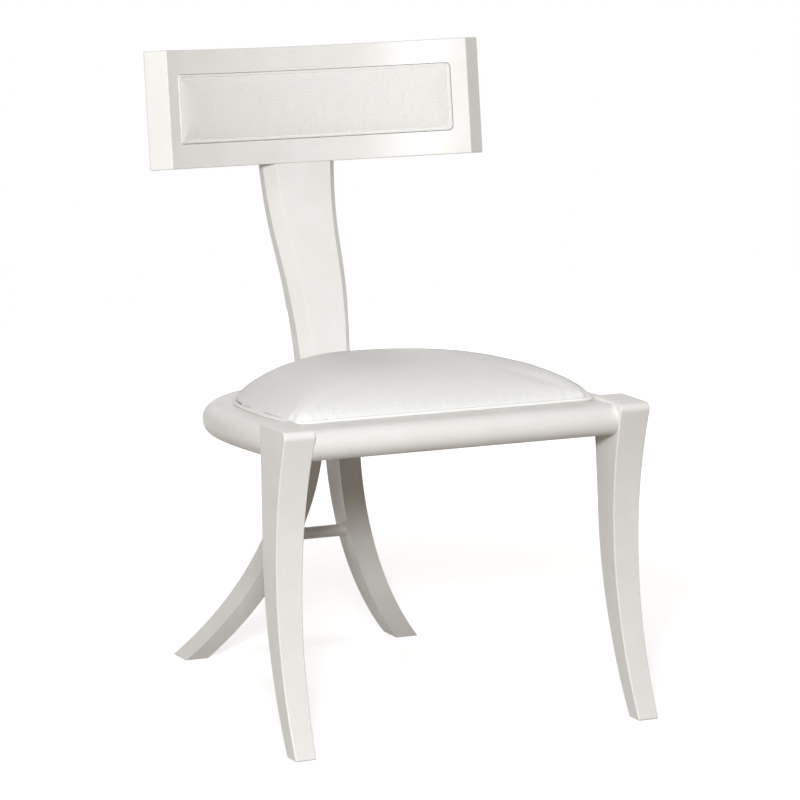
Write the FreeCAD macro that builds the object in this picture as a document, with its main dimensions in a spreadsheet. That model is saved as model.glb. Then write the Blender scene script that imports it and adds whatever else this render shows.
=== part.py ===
import FreeCAD, Part
import math
import os
import Sketcher
from FreeCAD import Placement, Rotation, Vector

# Klismos chair: sabre legs, a horseshoe seat frame pitched back, an ogee splat and a
# concave crest rail with an upholstered panel. Millimetres, +Z up, the sitter faces -Y.
# The origin is on the floor, under the middle of the chair's overall width and depth.

doc = FreeCAD.newDocument("klismos_chair")

# Driving dimensions

DIMENSIONS = {
    "chair_depth": 633.4,
    "legs_outer_width": 541.0,
    "leg_top_height": 434.0,
    "front_foot_width": 30.0,
    "front_leg_top_width": 45.0,
    "front_foot_depth": 29.5,
    "front_leg_bow": 62.5,
    "front_leg_bow_share": 0.576,
    "front_leg_back_set": 109.0,
    "front_leg_back_share": 0.668,
    "front_leg_depth_line": 115.0,
    "front_leg_top_round": 9.0,
    "edge_round": 1.6,
    "foot_edge_loss": 1.06,
    "leg_top_rise": 3.0,
    "seat_pitch": 2.5,
    "seat_back_set_in": 119.9,
    "rail_height": 43.0,
    "rail_side_set_in": 24.5,
    "front_rail_line": 63.0,
    "horseshoe_side_angle": 7.0,
    "horseshoe_side_radius": 890.0,
    "rail_inner_offset": 48.0,
    "ledge_offset": 27.0,
    "ledge_depth": 12.0,
    "rear_rail_angle": 36.0,
    "rear_leg_thickness": 34.0,
    "rear_leg_top_gap": 20.0,
    "rear_leg_top_drop": 59.0,
    "rear_foot_inset": 151.0,
    "rear_leg_splay_radius": 530.0,
    "rear_foot_depth": 46.0,
    "rear_leg_top_set_in": 149.4,
    "rear_leg_top_depth": 52.0,
    "rear_leg_rake_radius": 740.0,
    "rear_leg_back_radius": 650.0,
    "stretcher_diameter": 17.5,
    "stretcher_height": 184.0,
    "stretcher_set_in": 103.4,
    "stretcher_tenon": 12.0,
    "splat_foot_half_width": 37.0,
    "splat_top_half_width": 56.0,
    "splat_foot_thickness": 43.0,
    "splat_top_thickness": 32.0,
    "splat_chamfer_width": 13.7,
    "splat_chamfer_depth": 18.5,
    "splat_bend_rise": 158.0,
    "splat_bend_angle": 29.2,
    "splat_foot_angle": 6.5,
    "splat_tenon_length": 20.0,
    "splat_tenon_thickness": 14.0,
    "splat_tenon_width": 50.0,
    "crest_set_in": 53.4,
    "crest_rise": 280.5,
    "crest_recline": 7.5,
    "crest_height": 166.0,
    "crest_radius": 389.0,
    "crest_thickness": 32.0,
    "crest_half_chord": 231.0,
    "crest_end_step": 28.0,
    "panel_border": 34.2,
    "panel_end_border": 24.0,
    "panel_recess": 7.0,
    "panel_corner": 7.0,
    "pad_board": 3.5,
    "pad_crown": 6.0,
    "cloth": 1.2,
    "welt_radius": 2.5,
    "cushion_offset": 26.0,
    "cushion_front_line": 104.0,
    "cushion_corner": 21.0,
    "cushion_crown": 58.5,
    "fitting_gap": 0.8,
    "soft_gap": 0.4,
    "dowel_diameter": 10.0,
    "dowel_length": 40.0,
    "block_leg": 62.0,
    "block_height": 24.0,
    "screw_diameter": 4.5,
    "screw_head": 9.0,
    "screw_head_height": 3.0,
    "screw_bite": 8.0,
    "plug_length": 8.0,
}

sheet = doc.addObject("Spreadsheet::Sheet", "dims")
for row, (alias, value) in enumerate(DIMENSIONS.items(), start=1):
    sheet.set("A%d" % row, alias)
    sheet.set("B%d" % row, str(value))
    sheet.setAlias("B%d" % row, alias)
doc.recompute()


class Size:
    """A length that carries its number and the sheet formula that gives it."""

    def __init__(self, value, formula):
        self.value = value
        self.formula = formula

    def joined(self, other, sign, value):
        if not isinstance(other, Size):
            other = Size(float(other), repr(float(other)))
        return Size(value(self.value, other.value), "(%s %s %s)" % (self.formula, sign, other.formula))

    def __add__(self, other):
        return self.joined(other, "+", lambda a, b: a + b)

    def __sub__(self, other):
        return self.joined(other, "-", lambda a, b: a - b)

    def __mul__(self, other):
        return self.joined(other, "*", lambda a, b: a * b)

    def __truediv__(self, other):
        return self.joined(other, "/", lambda a, b: a / b)

    def __neg__(self):
        return Size(-self.value, "(-1 * %s)" % self.formula)

    def squared(self):
        return self * self

    def root(self):
        return Size(math.sqrt(self.value), "sqrt(%s)" % self.formula)


def size(alias):
    return Size(float(sheet.get(alias)), "dims." + alias)


def mm(alias):
    return float(sheet.get(alias))


# Drawing helpers

PLANES = {"top": "XY_Plane", "front": "XZ_Plane", "side": "YZ_Plane"}


def new_body(name):
    body = doc.addObject("PartDesign::Body", name)
    body.Label = name
    return body


def pin(sketch, geometry, point, across, up):
    """Ties one point of a sketch to the sheet, measured from the sketch's origin."""
    for kind, axis, length in (("DistanceX", -2, across), ("DistanceY", -1, up)):
        if abs(length.value) < 1e-9:
            sketch.addConstraint(Sketcher.Constraint("PointOnObject", geometry, point, axis))
            continue
        index = sketch.addConstraint(Sketcher.Constraint(kind, -1, 1, geometry, point, length.value))
        sketch.setExpression("Constraints[%d]" % index, length.formula)


def minor_arc(start, end, radius):
    """The short arc between two points. A positive radius bulges to the left of the way along it."""
    first, last = (end, start) if radius > 0 else (start, end)
    chord = last - first
    reach = math.sqrt(radius * radius - chord.Length ** 2 / 4)
    centre = first + chord / 2 + Vector(-chord.y, chord.x, 0).normalize() * reach
    turn_in = math.atan2(first.y - centre.y, first.x - centre.x)
    turn_out = math.atan2(last.y - centre.y, last.x - centre.x)
    if turn_out < turn_in:
        turn_out += 2 * math.pi
    return Part.ArcOfCircle(Part.Circle(centre, Vector(0, 0, 1), abs(radius)), turn_in, turn_out)


def draw(body, name, plane, points, bends=None):
    """A closed outline. bends maps the number of an edge to its signed arc radius."""
    bends = bends or {}
    sketch = body.newObject("Sketcher::SketchObject", name)
    feature = [f for f in body.Origin.OriginFeatures if f.Role == PLANES[plane]][0]
    sketch.AttachmentSupport = (feature, [""])
    sketch.MapMode = "FlatFace"
    count = len(points)
    corners = [Vector(a.value, b.value, 0) for a, b in points]
    ends = []
    for index in range(count):
        start = corners[index]
        end = corners[(index + 1) % count]
        if index in bends:
            number = sketch.addGeometry(minor_arc(start, end, bends[index].value), False)
            ends.append((number, 2, 1) if bends[index].value > 0 else (number, 1, 2))
        else:
            number = sketch.addGeometry(Part.LineSegment(start, end), False)
            ends.append((number, 1, 2))
    for index in range(count):
        here = ends[index]
        after = ends[(index + 1) % count]
        sketch.addConstraint(Sketcher.Constraint("Coincident", here[0], here[2], after[0], after[1]))
        pin(sketch, here[0], here[1], points[index][0], points[index][1])
    for index, radius in bends.items():
        number = sketch.addConstraint(
            Sketcher.Constraint("Radius", ends[index][0], abs(radius.value)))
        formula = radius.formula if radius.value > 0 else (-radius).formula
        sketch.setExpression("Constraints[%d]" % number, formula)
    return sketch


def pad(body, sketch, length, both_ways=False, backwards=False):
    feature = body.newObject("PartDesign::Pad", sketch.Name + "_pad")
    feature.Profile = sketch
    feature.Length = length.value
    feature.setExpression("Length", length.formula)
    feature.Midplane = both_ways
    feature.Reversed = backwards
    body.Tip = feature
    doc.recompute()
    return feature


def rounded(body, radius, wanted):
    """Rounds the edges of a body's tip for which wanted(edge) is true."""
    tip = body.Tip
    names = ["Edge%d" % n for n, edge in enumerate(tip.Shape.Edges, start=1) if wanted(edge)]
    feature = body.newObject("PartDesign::Fillet", body.Name + "_round")
    feature.Base = (tip, names)
    feature.Radius = radius.value
    feature.setExpression("Radius", radius.formula)
    body.Tip = feature
    doc.recompute()
    return feature


def feature_of(name, shape, placement=None):
    item = doc.addObject("Part::Feature", name)
    item.Shape = shape
    if placement is not None:
        item.Placement = placement
    return item


NODES = []


def node(item, label):
    item.Label = label
    NODES.append(item)
    return item


def cut(label, base, tools):
    """A piece with its holes and seats: the blank less everything that enters it."""
    item = doc.addObject("Part::Cut", label)
    item.Base = base
    if len(tools) == 1:
        item.Tool = tools[0]
    else:
        group = doc.addObject("Part::Compound", label + "_tools")
        group.Links = tools
        item.Tool = group
    doc.recompute()
    return node(item, label)


# Places shared by the pieces

ZERO = Size(0.0, "0")
# rounding takes a little off the sharp front edge of the front feet
HALF_DEPTH = (mm("chair_depth") + mm("foot_edge_loss")) / 2
SEAT_TOP = mm("leg_top_height") - mm("leg_top_rise")
REAR_RADIUS = mm("legs_outer_width") / 2 - mm("rail_side_set_in")
REAR_CENTRE = mm("chair_depth") - mm("seat_back_set_in") - REAR_RADIUS
CREST_LINE = mm("chair_depth") - mm("crest_set_in")
CREST_BASE = mm("leg_top_height") + mm("crest_rise")
STRETCHER_LINE = mm("chair_depth") - mm("stretcher_set_in")
FLOOR = Placement(Vector(0, -HALF_DEPTH, 0), Rotation())
SEAT = FLOOR.multiply(Placement(
    Vector(0, mm("front_rail_line"), SEAT_TOP),
    Rotation(Vector(1, 0, 0), -mm("seat_pitch"))))
CREST = FLOOR.multiply(Placement(
    Vector(0, CREST_LINE, CREST_BASE),
    Rotation(Vector(1, 0, 0), -mm("crest_recline"))))


def set_on_floor(item):
    item.Placement = FLOOR
    item.setExpression("Placement.Base.y", "-(dims.chair_depth + dims.foot_edge_loss) / 2")


def seat_point(across, back, up):
    """A point given on the seat frame's own plane, back from the front rail's line."""
    return SEAT.multVec(Vector(across, back, up))


# Front legs: one bow at the front, a longer one at the back, tapered on the inner side

def arc_through(step, height):
    """The radius of an arc that is upright at its top and steps aside by so much at its foot."""
    return (step.squared() + height.squared()) / (step * 2.0)


def front_leg_blank(name):
    """The left leg, whose foot and back stand on the floor's own lines."""
    body = new_body(name)
    top = size("leg_top_height")
    bow = size("front_leg_bow")
    bow_height = top * size("front_leg_bow_share")
    front_radius = arc_through(bow, bow_height)
    front_top = bow - front_radius + (front_radius.squared() - (top - bow_height).squared()).root()
    back_height = top * size("front_leg_back_share")
    back_radius = arc_through(size("front_leg_back_set") - size("front_foot_depth"), back_height)
    outline = [
        (ZERO, ZERO),
        (size("front_foot_depth"), ZERO),
        (size("front_leg_back_set"), back_height),
        (size("front_leg_depth_line"), top),
        (front_top, top),
    ]
    bends = {1: -back_radius, 4: front_radius}
    sketch = draw(body, name + "_profile", "side", outline, bends)
    pad(body, sketch, size("legs_outer_width") / 2, backwards=True)
    rounded(body, size("front_leg_top_round"), lambda edge: all(
        abs(v.Z - mm("leg_top_height")) < 0.01 and abs(v.Y - front_top.value) < 0.01
        for v in edge.Vertexes))
    # the inner side is planed away to the taper
    foot_inner = size("legs_outer_width") / 2 - size("front_foot_width")
    top_inner = size("legs_outer_width") / 2 - size("front_leg_top_width")
    waste = [
        (ZERO, ZERO),
        (-foot_inner, ZERO),
        (-top_inner, top),
        (ZERO, top),
    ]
    sketch = draw(body, name + "_taper", "front", waste)
    pocket = body.newObject("PartDesign::Pocket", name + "_taper_cut")
    pocket.Profile = sketch
    pocket.Type = "ThroughAll"
    pocket.Midplane = True
    body.Tip = pocket
    doc.recompute()
    rounded(body, size("edge_round"), lambda edge: edge.Length > 3 * mm("edge_round"))
    set_on_floor(body)
    return body


left_leg_blank = front_leg_blank("front_left_leg_blank")
right_leg_blank = doc.addObject("Part::Mirroring", "front_right_leg_blank")
right_leg_blank.Source = left_leg_blank
right_leg_blank.Normal = Vector(1, 0, 0)
doc.recompute()
front_leg_blanks = {-1: left_leg_blank, 1: right_leg_blank}


# Rear legs: sawn to a splayed curve seen from the front and to a raked curve seen from the side

def draw_bent(name, plane, outline, bends, width):
    body = new_body(name)
    pad(body, draw(body, name + "_profile", plane, outline, bends), Size(float(width), str(width)),
        both_ways=True)
    set_on_floor(body)
    return body


def rear_leg_blank(name, side):
    sign = Size(float(side), "%d" % side)
    gap = size("rear_leg_top_gap") / 2
    foot = size("rear_foot_inset")
    thick = size("rear_leg_thickness")
    top = size("leg_top_height") - size("rear_leg_top_drop")
    back = size("chair_depth")
    foot_front = back - size("rear_foot_depth")
    top_front = back - size("rear_leg_top_set_in")
    splay = draw_bent(name + "_splay", "front", [
        (foot * sign, ZERO),
        ((foot + thick) * sign, ZERO),
        ((gap + thick) * sign, top),
        (gap * sign, top),
    ], {1: size("rear_leg_splay_radius") * sign, 3: -size("rear_leg_splay_radius") * sign}, 2000)
    rake = draw_bent(name + "_rake", "side", [
        (foot_front, ZERO),
        (back, ZERO),
        (top_front + size("rear_leg_top_depth"), top),
        (top_front, top),
    ], {1: size("rear_leg_back_radius"), 3: -size("rear_leg_rake_radius")}, 1000)
    leg = doc.addObject("Part::MultiCommon", name)
    leg.Shapes = [splay, rake]
    leg.Label = name
    doc.recompute()
    return leg


rear_leg_blanks = {-1: rear_leg_blank("rear_left_leg_blank", -1),
                   1: rear_leg_blank("rear_right_leg_blank", 1)}


# Seat frame: a horseshoe of flat-topped rails with a half-round outer edge

def side_arc_centre():
    turn = math.radians(mm("horseshoe_side_angle"))
    step = REAR_RADIUS - mm("horseshoe_side_radius")
    return (step * math.cos(turn), horseshoe_back() + step * math.sin(turn))


def horseshoe_back():
    """How far the rear arc's centre lies behind the front rail's line."""
    return REAR_CENTRE - mm("front_rail_line")


def seat_outline(offset, front, corner):
    """The horseshoe drawn inwards by offset, closed by a straight front with round corners.

    Gives edges on the seat plane, from the front right corner round the back to the left one.
    """
    centre_x, centre_y = side_arc_centre()
    side_radius = mm("horseshoe_side_radius") - offset
    rear_radius = REAR_RADIUS - offset
    back = horseshoe_back()
    turn = math.radians(mm("horseshoe_side_angle"))
    corner_y = front + corner
    corner_x = centre_x + math.sqrt((side_radius - corner) ** 2 - (corner_y - centre_y) ** 2)
    away = Vector(corner_x - centre_x, corner_y - centre_y, 0).normalize()
    start = Vector(corner_x, front, 0)
    side_start = Vector(centre_x, centre_y, 0) + away * side_radius
    corner_mid = Vector(corner_x, corner_y, 0) + (away + Vector(0, -1, 0)).normalize() * corner
    side_end = Vector(rear_radius * math.cos(turn), back + rear_radius * math.sin(turn), 0)
    middle = (math.atan2(away.y, away.x) + turn) / 2
    side_mid = Vector(centre_x + side_radius * math.cos(middle),
                      centre_y + side_radius * math.sin(middle), 0)
    rear_turn = (turn + math.pi / 2) / 2
    rear_mid = Vector(rear_radius * math.cos(rear_turn), back + rear_radius * math.sin(rear_turn), 0)
    rear_end = Vector(0, back + rear_radius, 0)
    right = [(start, corner_mid, side_start), (side_start, side_mid, side_end),
             (side_end, rear_mid, rear_end)]
    left = [tuple(Vector(-p.x, p.y, 0) for p in reversed(arc)) for arc in reversed(right)]
    edges = [Part.Arc(*arc).toShape() for arc in right + left]
    edges.append(Part.makeLine(Vector(-corner_x, front, 0), start))
    return edges


def seat_wire(offset, front, corner, height=0.0):
    wire = Part.Wire(seat_outline(offset, front, corner))
    wire.translate(Vector(0, 0, height))
    return wire


def seat_slab(offset, front, corner, bottom, top):
    face = Part.Face(seat_wire(offset, front, corner, bottom))
    return face.extrude(Vector(0, 0, top - bottom))


def rail_profile(x_axis, origin, inner):
    """The rail's section as a face: flat top and bottom, half-round outside."""
    half = mm("rail_height") / 2
    height = mm("rail_height")
    ledge = mm("ledge_offset")
    drop = mm("ledge_depth")

    def at(out, up):
        return origin + x_axis * out + Vector(0, 0, up)

    points = [at(0, 0), at(-ledge, 0), at(-ledge, -drop), at(-inner, -drop), at(-inner, -height),
              at(0, -height)]
    edges = [Part.makeLine(a, b) for a, b in zip(points, points[1:])]
    edges.append(Part.Arc(points[-1], at(half, -half), points[0]).toShape())
    return Part.Face(Part.Wire(edges))


def swept_rail(start_angle, end_angle):
    """A stretch of rail round the rear arc, from one angle to another in degrees from +X."""
    start = math.radians(start_angle)
    centre = Vector(0, horseshoe_back(), 0)
    radial = Vector(math.cos(start), math.sin(start), 0)
    face = rail_profile(radial, centre + radial * REAR_RADIUS, mm("rail_inner_offset"))
    return face.revolve(centre, Vector(0, 0, 1), end_angle - start_angle)


def side_stretch():
    """The right rail's long gentle bow, from the rear arc to inside the front leg."""
    centre_x, centre_y = side_arc_centre()
    radius = mm("horseshoe_side_radius")
    turn = math.radians(mm("horseshoe_side_angle"))
    centre = Vector(centre_x, centre_y, 0)
    radial = Vector(math.cos(turn), math.sin(turn), 0)
    face = rail_profile(radial, centre + radial * radius, mm("rail_inner_offset"))
    end = math.asin((front_rail_back() - centre_y - 12) / radius)
    return face.revolve(centre, Vector(0, 0, 1), math.degrees(end - turn))


def front_rail_back():
    """The back face of the front rail, level with the backs of the front legs' tops."""
    return mm("front_leg_depth_line") - mm("front_rail_line")


# the ledge that the seat board drops onto keeps the cushion's outline, a little inside it
LEDGE_INSET = mm("ledge_offset") - mm("cushion_offset")
LEDGE_LINE = mm("cushion_front_line") - mm("front_rail_line") + LEDGE_INSET
LEDGE_CORNER = mm("cushion_corner") - LEDGE_INSET


def front_rail_shape():
    half = mm("rail_height") / 2
    height = mm("rail_height")
    back = front_rail_back()
    ledge = LEDGE_LINE
    drop = mm("ledge_depth")
    reach = mm("legs_outer_width") / 2 - mm("front_leg_top_width") / 2
    points = [Vector(-reach, 0, 0), Vector(-reach, ledge, 0), Vector(-reach, ledge, -drop),
              Vector(-reach, back, -drop), Vector(-reach, back, -height), Vector(-reach, 0, -height)]
    edges = [Part.makeLine(a, b) for a, b in zip(points, points[1:])]
    edges.append(Part.Arc(points[-1], Vector(-reach, -half, -half), points[0]).toShape())
    rail = Part.Face(Part.Wire(edges)).extrude(Vector(2 * reach, 0, 0))
    corners = Part.makeBox(2 * reach, back - ledge, drop, Vector(-reach, ledge, -drop))
    corners = corners.cut(seat_slab(mm("ledge_offset"), ledge, LEDGE_CORNER, -drop - 1, 1))
    return rail.fuse(corners).removeSplitter()


def beyond_leg(side):
    """Everything outboard of a front leg's tapered inner face."""
    foot = mm("legs_outer_width") / 2 - mm("front_foot_width")
    top = mm("legs_outer_width") / 2 - mm("front_leg_top_width")
    rise = mm("leg_top_height")
    points = [Vector(side * foot, -HALF_DEPTH, 0), Vector(side * (2 * top - foot), -HALF_DEPTH, 2 * rise),
              Vector(side * 2 * foot, -HALF_DEPTH, 2 * rise), Vector(side * 2 * foot, -HALF_DEPTH, 0)]
    return Part.Face(Part.makePolygon(points + points[:1])).extrude(Vector(0, 2 * HALF_DEPTH, 0))


def on_seat(shape):
    shape = shape.copy()
    shape.Placement = SEAT.multiply(shape.Placement)
    return shape


def mirrored(shape):
    return shape.mirror(Vector(0, 0, 0), Vector(1, 0, 0))


doc.recompute()
leg_shapes = {side: blank.Shape.copy() for side, blank in front_leg_blanks.items()}
front_rail_solid = on_seat(front_rail_shape()).cut(beyond_leg(-1)).cut(beyond_leg(1))

# everything in front of the front rail's back face, on the seat's plane
front_waste = Part.makeBox(1000, 300, 300, Vector(-500, front_rail_back() - 300, -150))
joint_angle = 90 - mm("rear_rail_angle")
right_rail_shape = side_stretch().fuse(swept_rail(mm("horseshoe_side_angle"), joint_angle))
right_rail_shape = right_rail_shape.cut(front_waste).removeSplitter()
right_rail_solid = on_seat(right_rail_shape).cut(leg_shapes[1])
left_rail_solid = on_seat(mirrored(right_rail_shape)).cut(leg_shapes[-1])
rear_rail_solid = on_seat(swept_rail(joint_angle, 180 - joint_angle))

front_rail_blank = feature_of("front_rail_blank", front_rail_solid)
right_rail_blank = feature_of("right_rail_blank", right_rail_solid)
left_rail_blank = feature_of("left_rail_blank", left_rail_solid)
rear_rail_blank = feature_of("rear_rail_blank", rear_rail_solid)


# Fasteners: dowels and screws, several of one kind to a node

def along(direction):
    return Rotation(Vector(0, 0, 1), direction)


def dowels(label, places):
    """Dowels centred on their joint faces. places holds (middle, direction) pairs."""
    pegs = []
    for number, (middle, direction) in enumerate(places, start=1):
        peg = doc.addObject("Part::Cylinder", "%s_%d" % (label, number))
        peg.setExpression("Radius", "dims.dowel_diameter / 2")
        peg.setExpression("Height", "dims.dowel_length")
        direction = Vector(direction).normalize()
        peg.Placement = Placement(middle - direction * (mm("dowel_length") / 2), along(direction))
        pegs.append(peg)
    group = doc.addObject("Part::Compound", label)
    group.Links = pegs
    return node(group, label)


def screw_solid(point, direction, length):
    """A countersunk screw whose head lies flush at point and whose tip lies along direction."""
    thread = mm("screw_diameter") / 2
    head = mm("screw_head") / 2
    depth = mm("screw_head_height")
    shank = Part.makeCylinder(thread, length - thread, Vector(0, 0, 0))
    tip = Part.makeCone(thread, 0.3, thread, Vector(0, 0, length - thread))
    cap = Part.makeCone(head, thread, depth)
    solid = shank.fuse(tip).fuse(cap).removeSplitter()
    solid.Placement = Placement(point, along(direction))
    return solid


def screws(label, places):
    """Screws of one kind. places holds (head point, direction, length) triples."""
    return node(feature_of(label, Part.makeCompound([screw_solid(*place) for place in places])), label)


def seat_way(across, back, up):
    return SEAT.Rotation.multVec(Vector(across, back, up))


half_rail = mm("rail_height") / 2
leg_inner = mm("legs_outer_width") / 2 - mm("front_leg_top_width")
front_rail_pegs = dowels("front_rail_dowels", [
    (seat_point(side * leg_inner, back, -half_rail), seat_way(side, 0, 0))
    for side in (-1, 1) for back in (8, 26)])

side_peg_across = mm("legs_outer_width") / 2 - mm("front_leg_top_width") * 0.6
side_rail_pegs = dowels("side_rail_dowels", [
    (seat_point(side * side_peg_across, front_rail_back(), up), seat_way(0, 1, 0))
    for side in (-1, 1) for up in (-12, -31)])


def rear_joint(side, inset):
    """A dowel's middle and direction on the radial joint between side rail and rear rail."""
    turn = math.radians(joint_angle)
    radius = REAR_RADIUS - inset
    middle = seat_point(side * radius * math.cos(turn), horseshoe_back() + radius * math.sin(turn), -27)
    return (middle, seat_way(-side * math.sin(turn), math.cos(turn), 0))


rear_rail_pegs = dowels("rear_rail_dowels", [
    rear_joint(side, inset) for side in (-1, 1) for inset in (6, 36)])


# Rear legs, stretcher and the pegs that hold them under the rear rail

def rear_leg_inner_at(height):
    """How far a rear leg's inner side stands from the middle, at a height above the floor."""
    top = Vector(mm("rear_leg_top_gap") / 2, mm("leg_top_height") - mm("rear_leg_top_drop"), 0)
    foot = Vector(mm("rear_foot_inset"), 0, 0)
    centre = minor_arc(top, foot, -mm("rear_leg_splay_radius")).Center
    return centre.x - math.sqrt(mm("rear_leg_splay_radius") ** 2 - (height - centre.y) ** 2)


leg_top = mm("leg_top_height") - mm("rear_leg_top_drop")
peg_across = mm("rear_leg_top_gap") / 2 + mm("rear_leg_thickness") / 2
rear_leg_pegs = dowels("rear_leg_dowels", [
    (Vector(side * peg_across, line - HALF_DEPTH, leg_top - 7), Vector(0, 0, 1))
    for side in (-1, 1)
    for line in (mm("chair_depth") - mm("rear_leg_top_set_in") + 11,
                 mm("chair_depth") - mm("rear_leg_top_set_in") + 29)])

stretcher_reach = rear_leg_inner_at(mm("stretcher_height")) + mm("stretcher_tenon")
stretcher = doc.addObject("Part::Cylinder", "rear_stretcher")
stretcher.setExpression("Radius", "dims.stretcher_diameter / 2")
stretcher.Height = 2 * stretcher_reach
stretcher.Placement = Placement(
    Vector(-stretcher_reach, STRETCHER_LINE - HALF_DEPTH, mm("stretcher_height")),
    along(Vector(1, 0, 0)))
node(stretcher, "rear_stretcher")


# Crest rail: a tablet bent round the sitter, reclined, with a recess for the upholstered panel

def crest_blank():
    body = new_body("crest_blank")
    inner = size("crest_radius")
    outer = inner + size("crest_thickness")
    inner_x = size("crest_half_chord")
    outer_x = inner_x + size("crest_end_step")
    inner_y = (inner.squared() - inner_x.squared()).root() - inner
    outer_y = (outer.squared() - outer_x.squared()).root() - inner
    outline = [(-inner_x, inner_y), (inner_x, inner_y), (outer_x, outer_y), (-outer_x, outer_y)]
    sketch = draw(body, "crest_plan", "top", outline, {0: inner, 2: -outer})
    pad(body, sketch, size("crest_height"))
    rounded(body, size("edge_round"), lambda edge: True)
    body.Placement = CREST
    return body


crest_body = crest_blank()
panel_half_angle = math.asin(mm("crest_half_chord") / mm("crest_radius")) - (
    mm("panel_end_border") / mm("crest_radius"))


def panel_solid(front_radius, back_radius, inset, corner, soft_edge=0.0):
    """A curved slab on the crest's own plan, inset from the recess, with round corners.

    soft_edge rounds the edges that face the sitter.
    """
    centre = Vector(0, -mm("crest_radius"), 0)
    half = panel_half_angle - inset / mm("crest_radius")
    low = mm("panel_border") + inset
    high = mm("crest_height") - mm("panel_border") - inset

    def at(radius, turn, height):
        return centre + Vector(radius * math.sin(turn), radius * math.cos(turn), height)

    corners = [at(front_radius, -half, low), at(back_radius, -half, low),
               at(back_radius, -half, high), at(front_radius, -half, high)]
    face = Part.Face(Part.makePolygon(corners + corners[:1]))
    slab = face.revolve(centre, Vector(0, 0, 1), -math.degrees(2 * half))
    thick = back_radius - front_radius
    radial = [edge for edge in slab.Edges if abs(edge.Length - thick) < 1e-6]
    slab = slab.makeFillet(corner, radial)
    if soft_edge:
        front = [edge for edge in slab.Edges if all(
            abs(math.hypot(v.X, v.Y + mm("crest_radius")) - front_radius) < 1e-6
            for v in edge.Vertexes)]
        slab = slab.makeFillet(soft_edge, front)
    return slab


def on_crest(shape):
    shape = shape.copy()
    shape.Placement = CREST.multiply(shape.Placement)
    return shape


crest_radius = mm("crest_radius")
recess_back = crest_radius + mm("panel_recess")
board_front = recess_back - mm("pad_board")
recess_tool = feature_of("panel_recess_tool", on_crest(
    panel_solid(crest_radius - 5, recess_back, 0, mm("panel_corner"))))
crest_pegs = dowels("crest_dowels", [
    (CREST.multVec(Vector(across, mm("crest_thickness") / 2, 0)),
     CREST.Rotation.multVec(Vector(0, 0, 1)))
    for across in (-24, 24)])


# Splat: an ogee board, wider at the top, with broad chamfers on its front edges

def splat_curve():
    """Sections of the splat's front from foot to top: (line, height) pairs on two arcs."""
    foot = math.radians(mm("splat_foot_angle"))
    bend = math.radians(mm("splat_bend_angle"))
    top = math.radians(mm("crest_recline"))
    bend_height = mm("leg_top_height") + mm("splat_bend_rise")
    upper = (CREST_BASE - bend_height) / (math.sin(bend) - math.sin(top))
    bend_line = CREST_LINE - upper * (math.cos(top) - math.cos(bend))
    lower = (bend_height - splat_foot_height()) / (math.sin(bend) - math.sin(foot))
    steps = 6
    sections = []
    for step in range(-1, steps):
        turn = foot + (bend - foot) * step / steps
        sections.append((bend_line - lower * (math.cos(turn) - math.cos(bend)),
                         bend_height - lower * (math.sin(bend) - math.sin(turn))))
    for step in range(0, steps + 2):
        turn = bend + (top - bend) * step / steps
        sections.append((bend_line + upper * (math.cos(turn) - math.cos(bend)),
                         bend_height + upper * (math.sin(bend) - math.sin(turn))))
    return sections


def splat_foot_height():
    """The height of the rear rail's top at the splat's front face."""
    return seat_point(0, REAR_CENTRE + REAR_RADIUS - mm("front_rail_line") - mm("cushion_offset"), 0).z


def splat_section(line, height):
    foot = splat_foot_height()
    share = (height - foot) / (CREST_BASE - foot)
    half = mm("splat_foot_half_width") + share * (
        mm("splat_top_half_width") - mm("splat_foot_half_width"))
    thick = mm("splat_foot_thickness") + share * (
        mm("splat_top_thickness") - mm("splat_foot_thickness"))
    front = half - mm("splat_chamfer_width")
    step = mm("splat_chamfer_depth")
    right = [Vector(front, line, height), Vector(half, line + step, height),
             Vector(half, line + thick, height)]
    left = [Vector(-p.x, p.y, p.z) for p in reversed(right)]
    points = right + left
    return Part.makePolygon(points + points[:1])


# its foot is scribed round the back of the cushion
sections = splat_curve()
splat_long = Part.makeLoft([splat_section(*section) for section in sections], True, False)
splat_long.Placement = FLOOR
above_crest_base = Part.makeBox(400, 400, 200, Vector(-200, -200, 0))
cushion_room = seat_slab(mm("cushion_offset") - 2 * mm("welt_radius") - mm("fitting_gap"), 60, 12,
                         -mm("rail_height"), 16)
splat_short = splat_long.cut(on_crest(above_crest_base)).cut(rear_rail_solid)
splat_short = splat_short.cut(on_seat(cushion_room))
splat_short = max(splat_short.Solids, key=lambda solid: solid.Volume)
tenon_back = REAR_CENTRE + REAR_RADIUS - mm("front_rail_line") - 18
tenon = Part.makeBox(
    mm("splat_tenon_width"), mm("splat_tenon_thickness"), mm("splat_tenon_length") + 4,
    Vector(-mm("splat_tenon_width") / 2, tenon_back, -mm("splat_tenon_length")))
splat_solid = splat_short.fuse(on_seat(tenon)).removeSplitter()
splat_blank = feature_of("splat_blank", splat_solid)
tenon_tool = feature_of("splat_mortise_tool", on_seat(tenon))


# Upholstered seat: board, foam, cover, welt, dust cover

board_offset = mm("ledge_offset") + mm("fitting_gap")
seat_board_shape = seat_slab(board_offset, LEDGE_LINE + mm("fitting_gap"),
                             LEDGE_CORNER - mm("fitting_gap"), -mm("ledge_depth"), 0)
cushion_front = mm("cushion_front_line") - mm("front_rail_line")
cushion_back = horseshoe_back() + REAR_RADIUS - mm("cushion_offset")
cushion_middle = (cushion_back - cushion_front) / 2


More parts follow.
